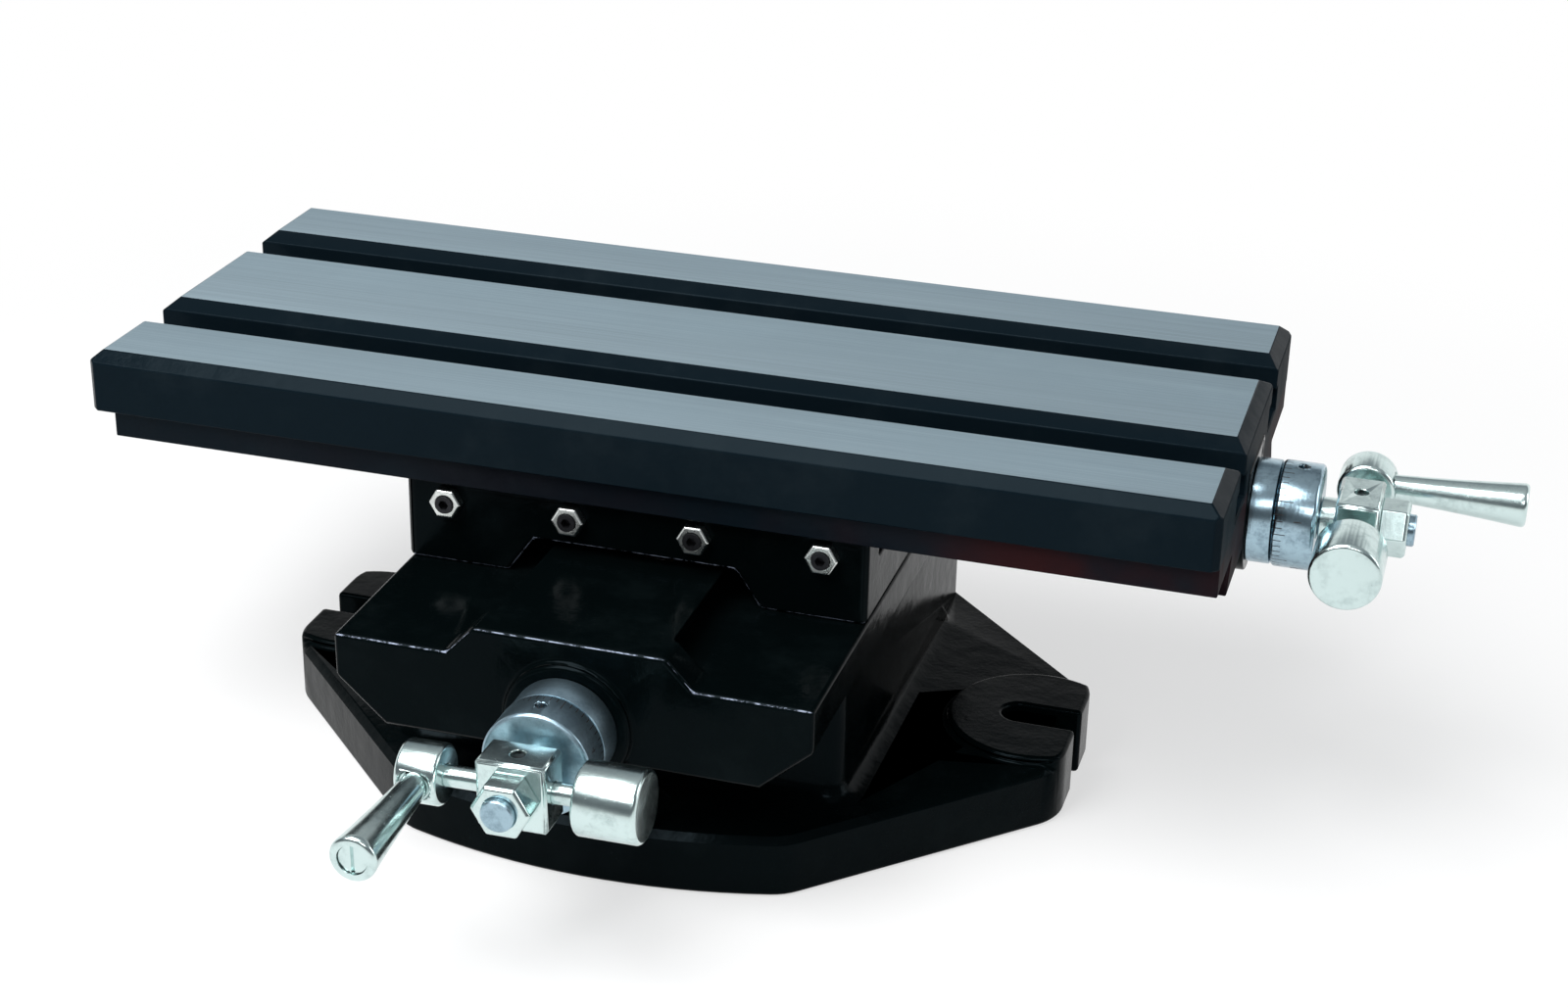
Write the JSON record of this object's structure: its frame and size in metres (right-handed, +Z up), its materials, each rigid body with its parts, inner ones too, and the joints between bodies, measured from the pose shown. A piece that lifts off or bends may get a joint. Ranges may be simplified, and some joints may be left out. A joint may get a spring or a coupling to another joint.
{
  "type": "cross_slide_table",
  "caption": "Compound cross slide table: a slotted table on two crossed dovetail slides over an eight-sided foot, each slide moved by a lead screw with a balanced crank.",
  "frame": {"origin": "Centre of the foot's underside", "axes": "+X runs along the table toward the long screw's crank, +Y goes to the rear away from the cross screw's crank, +Z is up"},
  "size_m": [0.62, 0.4305, 0.188],
  "materials": {
    "black_paint": "gloss",
    "steel_strip": "satin",
    "bronze": "satin",
    "black_oxide": "satin",
    "bright_steel": "gloss",
    "turned_steel": "satin",
    "satin_chrome": "satin",
    "bright_chrome": "gloss"
  },
  "bodies": {
    "base": {"base_casting": "black_paint", "cross_sleeve": "turned_steel"},
    "saddle": {"saddle_casting": "black_paint", "cross_gib": "steel_strip", "cross_gib_screws": "black_oxide", "cross_gib_nuts": "bright_steel", "long_gib": "steel_strip", "long_gib_screws": "black_oxide", "long_gib_nuts": "bright_steel", "long_nut": "bronze", "long_nut_screws": "black_oxide", "cross_nut": "bronze", "cross_nut_screws": "black_oxide"},
    "table": {"table_casting": "black_paint", "bearing_plate": "black_paint", "bearing_plate_bolts": "black_oxide", "tail_plate": "black_paint", "tail_plate_bolts": "black_oxide", "long_sleeve": "turned_steel"},
    "long_crank": {"long_screw": "turned_steel", "long_dial": "satin_chrome", "long_dial_screw": "black_oxide", "long_crank_hub": "bright_chrome", "long_hub_screw": "black_oxide", "long_crank_nut": "bright_chrome", "long_crank_rods": "bright_chrome", "long_grip_drum": "bright_chrome", "long_counterweight": "bright_chrome", "long_grip_spindle": "bright_chrome"},
    "long_handle": {"long_grip": "bright_chrome"},
    "cross_crank": {"cross_screw": "turned_steel", "cross_dial": "satin_chrome", "cross_dial_screw": "black_oxide", "cross_crank_hub": "bright_chrome", "cross_hub_screw": "black_oxide", "cross_crank_nut": "bright_chrome", "cross_crank_rods": "bright_chrome", "cross_grip_drum": "bright_chrome", "cross_counterweight": "bright_chrome", "cross_grip_spindle": "bright_chrome"},
    "cross_handle": {"cross_grip": "bright_chrome"}
  },
  "joints": [
    {"name": "saddle_slide", "type": "slide", "parent": "base", "child": "saddle", "axis": [0, 1, 0], "range_m": [-0.08, 0.055]},
    {"name": "table_slide", "type": "slide", "parent": "saddle", "child": "table", "axis": [1, 0, 0], "range_m": [-0.14, 0.14]},
    {"name": "long_screw_turn", "type": "hinge", "parent": "table", "child": "long_crank", "pos_m": [0.298, 0.018, 0.141], "axis": [1, 0, 0], "range_deg": [-10081, 10081]},
    {"name": "cross_screw_turn", "type": "hinge", "parent": "base", "child": "cross_crank", "pos_m": [0, -0.213, 0.082], "axis": [0, 1, 0], "range_deg": [-5761, 3961]},
    {"name": "long_grip_spin", "type": "hinge", "parent": "long_crank", "child": "long_handle", "pos_m": [0.34, 0.05798, 0.1424], "axis": [1, 0, 0], "continuous": true},
    {"name": "cross_grip_spin", "type": "hinge", "parent": "cross_crank", "child": "cross_handle", "pos_m": [-0.03999, -0.255, 0.0813], "axis": [0, 1, 0], "continuous": true}
  ],
  "couplings": [
    {"joint": "long_screw_turn", "follows": "table_slide", "rad_per_m": 1256.6},
    {"joint": "cross_screw_turn", "follows": "saddle_slide", "rad_per_m": 1256.6}
  ]
}
